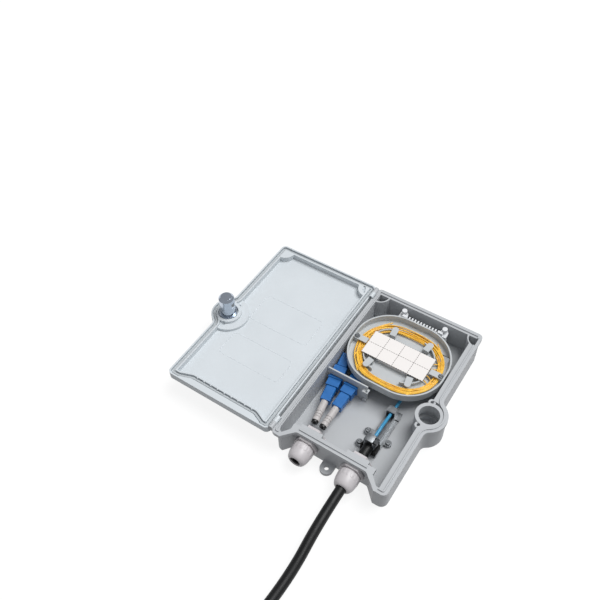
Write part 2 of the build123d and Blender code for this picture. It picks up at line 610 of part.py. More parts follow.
def cable_inner():
    """The feeder's sheath from the gland to the clamp, held by both."""
    return bar_y(GLAND_X[1], GLAND_Z, (GLAND_TIP_Y, CLAMP_Y + 6), CABLE_R)


def loose_tube():
    """Blue buffer tube from the cable's end, through the clip and under the tray."""
    line = FilletPolyline(*TUBE_PATH, radius=25)
    return sweep((line ^ 0) * Circle(TUBE_R), path=line)


def tube_clip():
    """Folded metal clip that holds the buffer tube at the bracket's far end."""
    x = TUBE_PATH[2][0]
    clip = box((x - 5, x + 9), (CLIP_Y - 3.5, CLIP_Y + 3.5), (PLATE_Z[1], 15.5))
    clip -= box((x - 4, x + 3), (CLIP_Y - 5, CLIP_Y + 5), (6.7, 14.5))
    clip -= box((x + 4, x + 10), (CLIP_Y - 5, CLIP_Y + 5), (6.7, 17))
    return clip


def feeder_cable():
    """Black feeder cable from the gland down to the surface and out to its coil."""
    pts = [Vector(*p) for p in CORD_POINTS]
    radii = []
    for a, b, c in zip(pts, pts[1:], pts[2:]):
        turn = math.radians((b - a).get_angle(c - b))
        radii.append(0.45 * min((b - a).length, (c - b).length) / math.tan(turn / 2))
    line = FilletPolyline(*pts, radius=radii)
    tube = sweep((line ^ 0) * Circle(CABLE_R), path=line)
    print("feeder radii", [round(r) for r in radii], "length", round(line.length),
          "volume ratio", round(tube.volume / (math.pi * CABLE_R ** 2 * line.length), 4))
    return tube


def feeder_coil():
    """Outer shape of the cable's spare length, wound into a flat round coil."""
    x, y = COIL_AT
    return rod(x, y, COIL_Z, COIL_R[1]) - rod(x, y, (COIL_Z[0] - 1, COIL_Z[1] + 1), COIL_R[0])


def coil_tie():
    """Hook-and-loop tie round the coil's turns."""
    x, y = COIL_AT
    tie = box((x - 7, x + 7), (y - COIL_R[1] - 0.7, y - COIL_R[0] + 0.7), (0, COIL_Z[1] + 0.7))
    return tie - feeder_coil()


def cable_cap():
    """Heat-shrunk end cap on the cable, inside the coil."""
    x, y = COIL_AT
    cap = Pos(x + CAP_X, y, CAP_R) * Rot(90, 0, 0) * Cylinder(CAP_R, CAP_L)
    end = cap.edges().filter_by(GeomType.CIRCLE).sort_by(Axis.Y)[-1]
    return fillet(end, 3.0)


def main():
    """Build every piece and write it out."""
    os.makedirs("parts", exist_ok=True)
    nodes = {
        "base_shell": base_shell(),
        "hinge_pin_near": hinge_pin(KNUCKLE_ENDS[0]),
        "hinge_pin_far": hinge_pin(KNUCKLE_ENDS[1]),
        "adapter_panel": adapter_panel(),
        "splice_tray": splice_tray(),
        "tray_screws": screws(TRAY_SCREWS, TRAY_Z[1] - 1.4, 16, 2.6, 1.2, 1.2),
        "tray_pegs": tray_pegs(),
        "cable_comb": cable_comb(),
        "splice_holder": splice_holder(),
        "splice_sleeves": splice_sleeves(),
        "label_card": label_card(),
        "fibre_coil_outer": fibre_coil(8.0, 3.8, (21.3, 25.3)),
        "fibre_coil_inner": fibre_coil(12.0, 3.8, (21.3, 24.6)),
        "cable_bracket": cable_bracket(),
        "bracket_screws": screws(BRACKET_EARS, PLATE_Z[1], 3.0, 2.5, 1.1),
        "clamp_saddle": clamp_saddle(),
        "clamp_band": clamp_band(),
        "clamp_screw": clamp_screw(),
        "cable_inner": cable_inner(),
        "loose_tube": loose_tube(),
        "tube_clip": tube_clip(),
        "feeder_cable": feeder_cable(),
        "feeder_coil": feeder_coil(),
        "cable_cap": cable_cap(),
        "coil_tie": coil_tie(),
    }
    for i, x in enumerate(GLAND_X):
        n = i + 1
        nodes[f"gland_body_{n}"] = gland_body(x)
        nodes[f"gland_nut_{n}"] = gland_nut(x)
        nodes[f"gland_locknut_{n}"] = gland_locknut(x)
        nodes[f"gland_seal_{n}"] = gland_seal(x, (SPARE_BORE_R, CABLE_R + 0.05)[i])
        nodes[f"sc_adapter_{n}"] = sc_adapter(i)
        nodes[f"sc_plug_{n}"] = sc_plug(i, -1)
        nodes[f"sc_ferrule_{n}"] = sc_ferrule(i, -1)
        nodes[f"sc_boot_{n}"] = sc_boot(i, -1, BOOT_L)
        nodes[f"boot_tail_{n}"] = boot_tail(i, -1, BOOT_L)
        nodes[f"inner_plug_{n}"] = sc_plug(i, 1)
        nodes[f"inner_boot_{n}"] = sc_boot(i, 1, INNER_BOOT_L)
    shut = {
        "lid_shell": lid_shell, "lid_gasket": lid_gasket, "lock_barrel": lock_barrel,
        "lock_nut": lock_nut, "lock_plug": lock_plug, "lock_tongue": lock_tongue,
        "key_blade": key_blade, "key_head": key_head,
    }
    for name, make in shut.items():
        nodes[name] = open_lid(make())
    for name, shape in nodes.items():
        export_step(shape, f"parts/{name}.step")
    print(len(nodes), "nodes")


main()
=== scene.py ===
"""Looks for an open wall-mounted fibre termination box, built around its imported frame.

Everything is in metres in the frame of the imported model. The origin is the middle of the flat back face,
+X runs from the hinge towards the lock, +Y away from the cable glands and +Z out of the wall.
"""
import json
import logging
import math
from dataclasses import dataclass, field
from enum import Enum
from typing import Any, Iterable, Sequence

import bmesh
import bpy
from mathutils import Matrix, Vector

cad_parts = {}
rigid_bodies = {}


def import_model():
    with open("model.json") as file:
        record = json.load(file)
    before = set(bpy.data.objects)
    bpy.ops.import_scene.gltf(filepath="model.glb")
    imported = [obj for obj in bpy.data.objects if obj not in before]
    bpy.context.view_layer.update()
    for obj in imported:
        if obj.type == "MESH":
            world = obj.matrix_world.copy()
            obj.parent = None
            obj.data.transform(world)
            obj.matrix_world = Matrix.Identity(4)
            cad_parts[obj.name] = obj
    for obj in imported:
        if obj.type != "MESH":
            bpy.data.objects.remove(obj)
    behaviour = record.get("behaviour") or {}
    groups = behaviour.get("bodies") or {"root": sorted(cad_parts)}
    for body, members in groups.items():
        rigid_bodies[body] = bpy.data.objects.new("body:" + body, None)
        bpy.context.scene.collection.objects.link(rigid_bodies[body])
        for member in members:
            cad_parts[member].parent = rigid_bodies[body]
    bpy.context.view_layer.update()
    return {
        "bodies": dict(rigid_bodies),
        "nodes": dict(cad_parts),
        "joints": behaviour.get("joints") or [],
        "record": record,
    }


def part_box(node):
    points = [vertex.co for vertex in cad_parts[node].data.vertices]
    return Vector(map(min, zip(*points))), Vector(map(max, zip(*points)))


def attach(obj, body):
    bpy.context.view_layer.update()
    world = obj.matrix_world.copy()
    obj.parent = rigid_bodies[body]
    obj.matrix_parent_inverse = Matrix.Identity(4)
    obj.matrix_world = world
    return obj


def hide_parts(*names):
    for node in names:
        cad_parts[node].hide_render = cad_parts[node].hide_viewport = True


LOG = logging.getLogger("termination_box")
MM = 0.001
CLOUD_LOW, CLOUD_HIGH = 0.3, 0.7    # where a cloud of noise starts and stops to change a finish
GLOSS_DRIFT = 0.12                  # how far the roughness drifts over a surface
Point = tuple[float, float, float]


# ---- Small helpers --------------------------------------------------------------------------------------
def linear(code: str) -> tuple[float, float, float, float]:
    """Turn an sRGB hex colour into the linear colour that shaders take.

    Args:
        code: Six hex digits, with or without a leading hash.

    Returns:
        Linear red, green, blue and an alpha of one.
    """
    digits = code.lstrip("#")
    parts = [int(digits[i:i + 2], 16) / 255 for i in (0, 2, 4)]
    r, g, b = (c / 12.92 if c <= 0.04045 else ((c + 0.055) / 1.055) ** 2.4 for c in parts)
    return r, g, b, 1.0


def add(tree: bpy.types.NodeTree, kind: str, inputs: dict[Any, Any] | None = None,
        **settings: Any) -> bpy.types.Node:
    """Add a node with its settings, and give its inputs values or links.

    Args:
        tree: The node tree to add to.
        kind: The node's type name.
        inputs: Input name or index to a value, or to the output socket that feeds it.
        **settings: Attributes of the node itself.

    Returns:
        The new node.
    """
    made = tree.nodes.new(kind)
    for name, value in settings.items():
        setattr(made, name, value)
    for key, value in (inputs or {}).items():
        if isinstance(value, bpy.types.NodeSocket):
            tree.links.new(value, made.inputs[key])
        else:
            made.inputs[key].default_value = value
    return made


def calc(tree: bpy.types.NodeTree, operation: str, *values: Any) -> bpy.types.NodeSocket:
    """Add a maths node for numbers or sockets, and return its result."""
    return add(tree, "ShaderNodeMath", dict(enumerate(values)), operation=operation).outputs[0]


def new_object(name: str, data: Any) -> bpy.types.Object:
    """Make an object at the origin from mesh or curve data, linked to the scene."""
    made = bpy.data.objects.new(name, data)
    bpy.context.scene.collection.objects.link(made)
    return made


def bake(source: bpy.types.Object) -> bpy.types.Mesh:
    """Turn an object's evaluated geometry into a plain mesh, and remove the object."""
    graph = bpy.context.evaluated_depsgraph_get()
    graph.update()
    mesh = bpy.data.meshes.new_from_object(source.evaluated_get(graph), depsgraph=graph)
    bpy.data.objects.remove(source)
    return mesh


def merge(name: str, meshes: Iterable[bpy.types.Mesh], smooth_deg: float = 40.0) -> bpy.types.Mesh:
    """Join several meshes into one, with its doubles merged, its normals outwards and soft faces smooth.

    Args:
        name: Name of the new mesh.
        meshes: What to join; they are removed.
        smooth_deg: Edges sharper than this stay sharp.

    Returns:
        The joined mesh.
    """
    work = bmesh.new()
    for mesh in list(meshes):
        work.from_mesh(mesh)
        bpy.data.meshes.remove(mesh)
    bmesh.ops.remove_doubles(work, verts=work.verts, dist=1e-7)
    bmesh.ops.recalc_face_normals(work, faces=work.faces)
    for face in work.faces:
        face.smooth = True
    for edge in work.edges:
        edge.smooth = len(edge.link_faces) == 2 and edge.calc_face_angle(0.0) < math.radians(smooth_deg)
    made = bpy.data.meshes.new(name)
    work.to_mesh(made)
    work.free()
    return made


def lathe(profile: Sequence[tuple[float, float]], steps: int = 64) -> bpy.types.Mesh:
    """Turn a closed (radius, height) outline about the Z axis.

    Args:
        profile: Corners of the closed outline, in metres.
        steps: Faces round the axis.

    Returns:
        The turned mesh.
    """
    count = len(profile)
    points = [(r * math.cos(2 * math.pi * k / steps), r * math.sin(2 * math.pi * k / steps), h)
              for k in range(steps) for r, h in profile]
    faces = [(k * count + i, ((k + 1) % steps) * count + i,
              ((k + 1) % steps) * count + (i + 1) % count, k * count + (i + 1) % count)
             for k in range(steps) for i in range(count)]
    mesh = bpy.data.meshes.new("turned")
    mesh.from_pydata(points, [], faces)
    return mesh


def block(low: Sequence[float], high: Sequence[float], round_mm: float = 0.0) -> bpy.types.Mesh:
    """Make a block between two corners, with its edges rounded."""
    work = bmesh.new()
    bmesh.ops.create_cube(work, size=1.0)
    low_v, high_v = Vector(low), Vector(high)
    for vert in work.verts:
        vert.co = Vector((low_v[i] + (vert.co[i] + 0.5) * (high_v[i] - low_v[i]) for i in range(3)))
    if round_mm:
        bmesh.ops.bevel(work, geom=work.edges[:], offset=round_mm * MM, segments=3, affect="EDGES",
                        profile=0.5)
    mesh = bpy.data.meshes.new("block")
    work.to_mesh(mesh)
    work.free()
    return mesh


def smooth_curve(name: str, points: Sequence[Point], radius: float, closed: bool = False,
                 resolution: int = 12) -> bpy.types.Object:
    """Make a round, smooth NURBS tube.

    Args:
        name: Name of the object.
        points: Control points of the spline.
        radius: Radius of the tube; none is made where it is zero.
        closed: Whether the line closes on itself.
        resolution: Steps between two control points.

    Returns:
        The curve object.
    """
    data = bpy.data.curves.new(name, "CURVE")
    data.dimensions = "3D"
    data.resolution_u = resolution
    data.render_resolution_u = resolution
    data.bevel_depth = radius
    data.bevel_resolution = 4
    data.use_fill_caps = radius > 0 and not closed
    spline = data.splines.new("NURBS")
    spline.points.add(len(points) - 1)
    for target, place in zip(spline.points, points):
        target.co = (*place, 1.0)
    spline.use_cyclic_u = closed
    spline.order_u = 3
    spline.use_endpoint_u = not closed
    return new_object(name, data)


def rounded_loop(x: tuple[float, float], y: tuple[float, float], z: float, corner: float,
                 per_corner: int = 5) -> list[Point]:
    """Points round a rounded rectangle, anticlockwise.

    Args:
        x: Low and high side across.
        y: Low and high side along.
        z: Height of the loop.
        corner: Corner radius.
        per_corner: Points on each corner.

    Returns:
        The points, in metres.
    """
    centres = ((x[1] - corner, y[0] + corner, -90), (x[1] - corner, y[1] - corner, 0),
               (x[0] + corner, y[1] - corner, 90), (x[0] + corner, y[0] + corner, 180))
    loop = []
    for cx, cy, start in centres:
        for i in range(per_corner):
            turn = math.radians(start + 90 * i / (per_corner - 1))
            loop.append((cx + corner * math.cos(turn), cy + corner * math.sin(turn), z))
    return loop


# ---- Finishes -------------------------------------------------------------------------------------------
class Slot(Enum):
    """The record's material slots."""

    ABS_GREY = "abs_grey"
    # the lid's copy of the housing ABS, painted paler for the light that falls flat on it
    ABS_LID_PAINTED_LIGHT = "abs_lid"
    TRAY_GREY = "tray_grey"
    NYLON_GREY = "nylon_grey"
    RUBBER_GREY = "rubber_grey"
    RUBBER_BLACK = "rubber_black"
    STEEL = "steel"
    CHROME = "chrome"
    BLACK_PLASTIC = "black_plastic"
    BLUE_PLASTIC = "blue_plastic"
    BOOT_WHITE = "boot_white"
    CERAMIC = "ceramic"
    CARD = "card"
    WHITE_PLASTIC = "white_plastic"
    CLEAR_SLEEVE = "clear_sleeve"
    FIBRE_YELLOW = "fibre_yellow"
    TUBE_BLUE = "tube_blue"
    SHEATH_BLACK = "sheath_black"
    TIE_BLACK = "tie_black"


@dataclass(frozen=True)
class Finish:
    """A surface finish that builds one material: a base colour with slow variation over a fine grain."""

    name: str
    colour: str
    roughness: float
    ior: float = 1.5
    grain_mm: float = 0.8
    grain_height_mm: float = 0.02
    mottle: float = 0.06
    mottle_mm: float = 22.0
    edge_mm: float = 0.3

    def build(self) -> bpy.types.Material:
        """Build the material."""
        material = bpy.data.materials.new(self.name)
        material.use_nodes = True
        tree = material.node_tree
        shader = tree.nodes["Principled BSDF"]
        shader.inputs["IOR"].default_value = self.ior
        place = add(tree, "ShaderNodeTexCoord").outputs["Object"]
        self.tint(tree, shader, place)
        self.relief(tree, shader, place)
        self.extra(shader)
        return material

    def tint(self, tree: bpy.types.NodeTree, shader: bpy.types.Node, place: bpy.types.NodeSocket) -> None:
        """Give the colour a slow mottle and the gloss a patchiness that follows handling."""
        cloud = add(tree, "ShaderNodeTexNoise", {"Vector": place, "Scale": 1 / (self.mottle_mm * MM),
                                                 "Detail": 3.0, "Roughness": 0.55})
        base = linear(self.colour)
        low = tuple(c * (1 - self.mottle) for c in base[:3]) + (1.0,)
        high = tuple(min(1.0, c * (1 + self.mottle)) for c in base[:3]) + (1.0,)
        ramp = add(tree, "ShaderNodeValToRGB", {"Fac": cloud.outputs["Fac"]})
        for stop, position, colour in zip(ramp.color_ramp.elements, (CLOUD_LOW, CLOUD_HIGH), (low, high)):
            stop.position, stop.color = position, colour
        tree.links.new(ramp.outputs["Color"], shader.inputs["Base Color"])
        gloss = add(tree, "ShaderNodeMapRange", {
            "Value": cloud.outputs["Fac"], "From Min": CLOUD_LOW, "From Max": CLOUD_HIGH,
            "To Min": self.roughness * (1 - GLOSS_DRIFT),
            "To Max": min(1.0, self.roughness * (1 + GLOSS_DRIFT))})
        tree.links.new(gloss.outputs["Result"], shader.inputs["Roughness"])

    def relief(self, tree: bpy.types.NodeTree, shader: bpy.types.Node, place: bpy.types.NodeSocket) -> None:
        """Round the edges a little and add the grain."""
        grain = add(tree, "ShaderNodeTexNoise", {
            "Vector": place, "Scale": 1 / (self.grain_mm * MM), "Detail": 2.0})
        soft = add(tree, "ShaderNodeBevel", {"Radius": self.edge_mm * MM}, samples=4)
        bump = add(tree, "ShaderNodeBump", {
            "Height": grain.outputs["Fac"], "Distance": self.grain_height_mm * MM, "Strength": 0.8,
            "Normal": soft.outputs["Normal"]})
        tree.links.new(bump.outputs["Normal"], shader.inputs["Normal"])

    def extra(self, shader: bpy.types.Node) -> None:
        """Set what only this kind of finish has."""


@dataclass(frozen=True)
class Metal(Finish):
    """Plated or polished metal, with fine drawn lines along one axis."""

    line_mm: Point = (0.25, 6.0, 0.25)

    def relief(self, tree: bpy.types.NodeTree, shader: bpy.types.Node, place: bpy.types.NodeSocket) -> None:
        """Draw the fine lines that rolling or turning leaves."""
        scale = tuple(1 / (v * MM) for v in self.line_mm)
        drawn = add(tree, "ShaderNodeMapping", {"Vector": place, "Scale": scale})
        lines = add(tree, "ShaderNodeTexNoise", {
            "Vector": drawn.outputs["Vector"], "Scale": 1.0, "Detail": 2.0})
        soft = add(tree, "ShaderNodeBevel", {"Radius": self.edge_mm * MM}, samples=4)
        bump = add(tree, "ShaderNodeBump", {
            "Height": lines.outputs["Fac"], "Distance": self.grain_height_mm * MM, "Strength": 0.6,
            "Normal": soft.outputs["Normal"]})
        tree.links.new(bump.outputs["Normal"], shader.inputs["Normal"])

    def extra(self, shader: bpy.types.Node) -> None:
        """Make it a metal."""
        shader.inputs["Metallic"].default_value = 1.0


@dataclass(frozen=True)
class ClearPlastic(Finish):
    """Shrunk clear tubing, milky where it is thick."""

    def extra(self, shader: bpy.types.Node) -> None:
        """Let part of the light through."""
        shader.inputs["Transmission Weight"].default_value = 0.45


@dataclass(frozen=True)
class Fabric(Finish):
    """Hook-and-loop tape with a fuzzy face."""

    def extra(self, shader: bpy.types.Node) -> None:
        """Add the fuzz's sheen."""
        shader.inputs["Sheen Weight"].default_value = 0.6
        shader.inputs["Sheen Roughness"].default_value = 0.5


@dataclass(frozen=True)
class LitPaper(Finish):
    """White backdrop lit from behind, so shadows on it stay faint."""

    glow: float = 0.86

    def extra(self, shader: bpy.types.Node) -> None:
        """Add the light from behind."""
        shader.inputs["Emission Color"].default_value = linear("#FFFFFF")
        shader.inputs["Emission Strength"].default_value = self.glow


@dataclass(frozen=True)
class PrintedCard(Finish):
    """Smooth white card, printed with a plain grid of dashed lines."""

    corner: tuple[float, float] = (-0.036, 0.0225)
    cell: tuple[float, float] = (0.017, 0.015)
    line_mm: float = 0.55
    dash_mm: float = 2.6
    dash_share: float = 0.72
    ink: str = "#6F6B69"

    def tint(self, tree: bpy.types.NodeTree, shader: bpy.types.Node, place: bpy.types.NodeSocket) -> None:
        """Print the grid over the card's own colour."""
        super().tint(tree, shader, place)
        paper = shader.inputs["Base Color"].links[0].from_socket
        axes = add(tree, "ShaderNodeSeparateXYZ", {"Vector": place}).outputs
        lines = []
        for axis, other in ((0, 1), (1, 0)):
            moved = calc(tree, "SUBTRACT", axes[axis], self.corner[axis])
            # folded into one cell about zero, so a line lies where the fold is near zero
            gap = calc(tree, "WRAP", moved, self.cell[axis] / 2, -self.cell[axis] / 2)
            line = calc(tree, "LESS_THAN", calc(tree, "ABSOLUTE", gap), self.line_mm * MM / 2)
            part = calc(tree, "FRACT", calc(tree, "DIVIDE", axes[other], self.dash_mm * MM))
            dash = calc(tree, "LESS_THAN", part, self.dash_share)
            lines.append(calc(tree, "MULTIPLY", line, dash))
        ink = calc(tree, "MAXIMUM", *lines)
        mixed = add(tree, "ShaderNodeMix", {"Factor": ink}, data_type="RGBA")
        tree.links.new(paper, mixed.inputs[6])
        mixed.inputs[7].default_value = linear(self.ink)
        tree.links.new(mixed.outputs[2], shader.inputs["Base Color"])


FINISHES: dict[Slot, Finish] = {
    # ABS, injection moulded with a fine satin texture: soft broad highlights, neutral and pale
    Slot.ABS_GREY: Finish(
        "Moulded ABS, light grey", "#B5B8BB", roughness=0.5, ior=1.53, grain_mm=0.7,
        grain_height_mm=0.016, mottle=0.02, mottle_mm=30.0, edge_mm=0.5),
    # the same ABS with painted light: a paler, slightly cool copy that stands for the light falling flat on
    # the lid
    Slot.ABS_LID_PAINTED_LIGHT: Finish(
        "Moulded ABS, lid grey with painted light", "#CED4D8", roughness=0.48, ior=1.53, grain_mm=0.7, grain_height_mm=0.014,
        mottle=0.018, mottle_mm=34.0, edge_mm=0.5),
    # thinner polystyrene tray: a little greyer and shinier than the housing
    Slot.TRAY_GREY: Finish(
        "Moulded polystyrene, tray grey", "#BCC0C2", roughness=0.4, ior=1.59, grain_mm=0.9,
        grain_height_mm=0.012, mottle=0.03, mottle_mm=18.0, edge_mm=0.25),
    # polyamide: warmer, waxy, with a soft deep gloss
    Slot.NYLON_GREY: Finish(
        "Moulded polyamide, warm grey", "#C8C4C6", roughness=0.36, ior=1.53, grain_mm=1.2,
        grain_height_mm=0.012, mottle=0.03, mottle_mm=9.0, edge_mm=0.5),
    # foamed rubber cord: dull, so the groove reads as a pale line between two dark ones
    Slot.RUBBER_GREY: Finish(
        "Moulded rubber seal, grey", "#B4B9BC", roughness=0.75, ior=1.52, grain_mm=0.6,
        grain_height_mm=0.02, mottle=0.04, mottle_mm=12.0, edge_mm=0.2),
    # black rubber: swallows the light in the glands and under the clamp
    Slot.RUBBER_BLACK: Finish(
        "Moulded rubber, black", "#0B0B0B", roughness=0.75, ior=1.4, grain_mm=0.6, grain_height_mm=0.02,
        mottle=0.15, mottle_mm=6.0, edge_mm=0.3),
    # zinc plated sheet: mid grey, streaked along the rolling direction, with small hard glints
    Slot.STEEL: Metal(
        "Zinc-plated steel", "#7E8184", roughness=0.34, ior=1.5, grain_mm=0.8, grain_height_mm=0.006,
        mottle=0.16, mottle_mm=4.0, edge_mm=0.2),
    # chromed casting: mirrors the pale room with a cool tint, slightly soft
    Slot.CHROME: Metal(
        "Chromed zinc casting", "#BBC4D0", roughness=0.18, ior=1.5, grain_mm=0.8, grain_height_mm=0.001,
        mottle=0.03, mottle_mm=8.0, edge_mm=0.3, line_mm=(3.0, 3.0, 0.4)),
    # black ABS: even satin sheen on the key and the plug ends
    Slot.BLACK_PLASTIC: Finish(
        "Moulded ABS, black", "#111213", roughness=0.35, ior=1.53, grain_mm=0.8, grain_height_mm=0.01,
        mottle=0.15, mottle_mm=5.0, edge_mm=0.4),
    # moulded PBT: saturated blue with a waxy gloss on its edges
    Slot.BLUE_PLASTIC: Finish(
        "Moulded PBT, blue", "#1365AC", roughness=0.36, ior=1.55, grain_mm=0.8, grain_height_mm=0.008,
        mottle=0.08, mottle_mm=6.0, edge_mm=0.35),
    # soft elastomer: pale warm grey and nearly matt
    Slot.BOOT_WHITE: Finish(
        "Moulded elastomer, pale grey", "#BDB9B8", roughness=0.5, ior=1.5, grain_mm=0.8,
        grain_height_mm=0.012, mottle=0.05, mottle_mm=6.0, edge_mm=0.3),
    # polished zirconia: hard, bright highlight
    Slot.CERAMIC: Finish(
        "Polished zirconia", "#E8E4DA", roughness=0.12, ior=2.1, grain_mm=0.5, grain_height_mm=0.001,
        mottle=0.02, mottle_mm=4.0, edge_mm=0.1),
    # smooth card: the whitest thing in the box, with thin dashed lines
    Slot.CARD: PrintedCard(
        "Printed card, white", "#EBE7E4", roughness=0.6, ior=1.45, grain_mm=0.5, grain_height_mm=0.006,
        mottle=0.01, mottle_mm=20.0, edge_mm=0.1),
    # polyacetal: cold white with a slightly greasy shine
    Slot.WHITE_PLASTIC: Finish(
        "Moulded polyacetal, white", "#DFE1E3", roughness=0.36, ior=1.48, grain_mm=0.8,
        grain_height_mm=0.01, mottle=0.03, mottle_mm=8.0, edge_mm=0.3),
    # shrunk clear tubing: milky, lets some of the tray show through
    Slot.CLEAR_SLEEVE: ClearPlastic(
        "Heat-shrunk clear tubing", "#E4E6E8", roughness=0.22, ior=1.5, grain_mm=1.2,
        grain_height_mm=0.02, mottle=0.02, mottle_mm=6.0, edge_mm=0.1),
    # tight-buffered fibre: a smooth orange-yellow that varies from strand to strand
    Slot.FIBRE_YELLOW: Finish(
        "Extruded fibre buffer, yellow", "#FFC044", roughness=0.34, ior=1.5, grain_mm=2.5,
        grain_height_mm=0.01, mottle=0.16, mottle_mm=7.0, edge_mm=0.1),
    # extruded tube: clear blue with one long highlight
    Slot.TUBE_BLUE: Finish(
        "Extruded loose tube, blue", "#3E93BE", roughness=0.3, ior=1.5, grain_mm=2.0,
        grain_height_mm=0.01, mottle=0.08, mottle_mm=9.0, edge_mm=0.1),
    # polyethylene sheath: deep black with a soft highlight along its length
    Slot.SHEATH_BLACK: Finish(
        "Extruded polyethylene sheath, black", "#08090A", roughness=0.46, ior=1.4, grain_mm=1.6,
        grain_height_mm=0.03, mottle=0.2, mottle_mm=14.0, edge_mm=0.2),
    # woven tape: fuzzy, no highlight
    Slot.TIE_BLACK: Fabric(
        "Hook-and-loop tape, black", "#17171A", roughness=0.85, ior=1.5, grain_mm=0.5,
        grain_height_mm=0.12, mottle=0.2, mottle_mm=4.0, edge_mm=0.1),
}


@dataclass
class Wardrobe:
    """Every material, built once, and the dressing of pieces with them."""

    made: dict[Slot, bpy.types.Material] = field(default_factory=dict)

    def material(self, slot: Slot) -> bpy.types.Material:
        """The slot's material."""
        if slot not in self.made:
            self.made[slot] = FINISHES[slot].build()
        return self.made[slot]

    def dress(self, piece: bpy.types.Object, slot: Slot) -> None:
        """Give a piece its material.

        Args:
            piece: The piece.
            slot: The finish to give it.
        """
        piece.data.materials.clear()
        piece.data.materials.append(self.material(slot))

    def dress_frame(self, frame: dict[str, Any]) -> None:
        """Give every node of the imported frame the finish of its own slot."""
        for part in frame["record"]["subparts"]:
            self.dress(frame["nodes"][part["node"]], Slot(part["material_slot"]))


# ---- Geometry trees -------------------------------------------------------------------------------------
@dataclass
class GeometryTree:
    """A node tree that makes repeated geometry, with named inputs."""

    name: str
    inputs: dict[str, str]

    def start(self) -> tuple[bpy.types.NodeTree, bpy.types.Node]:
        """Make the empty tree with its interface, and its input node."""
        tree = bpy.data.node_groups.new(self.name, "GeometryNodeTree")
        tree.interface.new_socket("Geometry", in_out="INPUT", socket_type="NodeSocketGeometry")
        for label, kind in self.inputs.items():
            tree.interface.new_socket(label, in_out="INPUT", socket_type=kind)
        tree.interface.new_socket("Geometry", in_out="OUTPUT", socket_type="NodeSocketGeometry")
        return tree, tree.nodes.new("NodeGroupInput")

    def close(self, tree: bpy.types.NodeTree, geometry: bpy.types.NodeSocket,
              material: bpy.types.NodeSocket) -> None:
        """End the tree with smooth shading, real geometry and its material."""
        smooth = add(tree, "GeometryNodeSetShadeSmooth", {"Geometry": geometry})
        real = add(tree, "GeometryNodeRealizeInstances", {"Geometry": smooth.outputs[0]})
        painted = add(tree, "GeometryNodeSetMaterial", {"Geometry": real.outputs[0], "Material": material})
        out = tree.nodes.new("NodeGroupOutput")
        tree.links.new(painted.outputs[0], out.inputs[0])

    def apply(self, tree: bpy.types.NodeTree, source: bpy.types.Object,
              values: dict[str, Any]) -> bpy.types.Mesh:
        """Run the tree on an object and return the plain mesh.

        Args:
            tree: The finished tree.
            source: The object that the tree reads; it is removed.
            values: Input name to value.

        Returns:
            The mesh that the tree made.
        """
        modifier = source.modifiers.new(self.name, "NODES")
        modifier.node_group = tree
        for item in tree.interface.items_tree:
            if item.item_type == "SOCKET" and item.in_out == "INPUT" and item.name in values:
                modifier[item.identifier] = values[item.name]
        return bake(source)


class StrandBundle(GeometryTree):
    """Strands that follow a guide line side by side, drifting over and under each other."""

    phase_step = 3.7        # keeps one strand's drift apart from the next one's
    drift_scale = 26.0      # waves per metre, about

    def __init__(self) -> None:
        """Name the bundle's sizes."""
        super().__init__("Strand bundle", {
            "Count": "NodeSocketInt", "Width": "NodeSocketFloat", "Height": "NodeSocketFloat",
            "Wander": "NodeSocketFloat", "Radius": "NodeSocketFloat", "Step": "NodeSocketFloat",
            "Seed": "NodeSocketInt", "Material": "NodeSocketMaterial"})

    def build(self) -> bpy.types.NodeTree:
        """Build the tree."""
        tree, given = self.start()
        line = add(tree, "GeometryNodeResampleCurve", {"Curve": given.outputs["Geometry"],
                                                       "Length": given.outputs["Step"]}, mode="LENGTH")
        many = add(tree, "GeometryNodeDuplicateElements", {"Geometry": line.outputs[0],
                                                           "Amount": given.outputs["Count"]}, domain="SPLINE")
        number = many.outputs["Duplicate Index"]
        next_seed = calc(tree, "ADD", given.outputs["Seed"], 1.0)
        side, rise = (
            add(tree, "FunctionNodeRandomValue", {"ID": number, "Seed": seed}, data_type="FLOAT").outputs[1]
            for seed in (given.outputs["Seed"], next_seed))
        place = add(tree, "GeometryNodeInputPosition").outputs[0]
        phase = calc(tree, "MULTIPLY_ADD", number, self.phase_step, given.outputs["Seed"])
        drift = add(tree, "ShaderNodeTexNoise", {"Vector": place, "W": phase, "Scale": self.drift_scale,
                                                 "Detail": 1.0}, noise_dimensions="4D")
        spread = calc(tree, "MULTIPLY", calc(tree, "SUBTRACT", side, 0.5), given.outputs["Width"])
        sway = calc(tree, "SUBTRACT", drift.outputs["Fac"], 0.5)
        across = calc(tree, "MULTIPLY_ADD", sway, given.outputs["Wander"], spread)
        along = add(tree, "GeometryNodeInputTangent").outputs[0]
        lateral = add(tree, "ShaderNodeVectorMath", {0: along, 1: (0.0, 0.0, 1.0)}, operation="CROSS_PRODUCT")
        shift = add(tree, "ShaderNodeVectorMath", {0: lateral.outputs[0], "Scale": across}, operation="SCALE")
        lift = calc(tree, "MULTIPLY", rise, given.outputs["Height"])
        upward = add(tree, "ShaderNodeCombineXYZ", {"Z": lift})
        offset = add(tree, "ShaderNodeVectorMath", {0: shift.outputs[0], 1: upward.outputs[0]},
                     operation="ADD")
        laid = add(tree, "GeometryNodeSetPosition", {
            "Geometry": many.outputs[0], "Offset": offset.outputs[0]})
        ring = add(tree, "GeometryNodeCurvePrimitiveCircle", {
            "Resolution": 8, "Radius": given.outputs["Radius"]})
        tube = add(tree, "GeometryNodeCurveToMesh", {
            "Curve": laid.outputs[0], "Profile Curve": ring.outputs[0], "Fill Caps": True})
        self.close(tree, tube.outputs[0], given.outputs["Material"])
        return tree


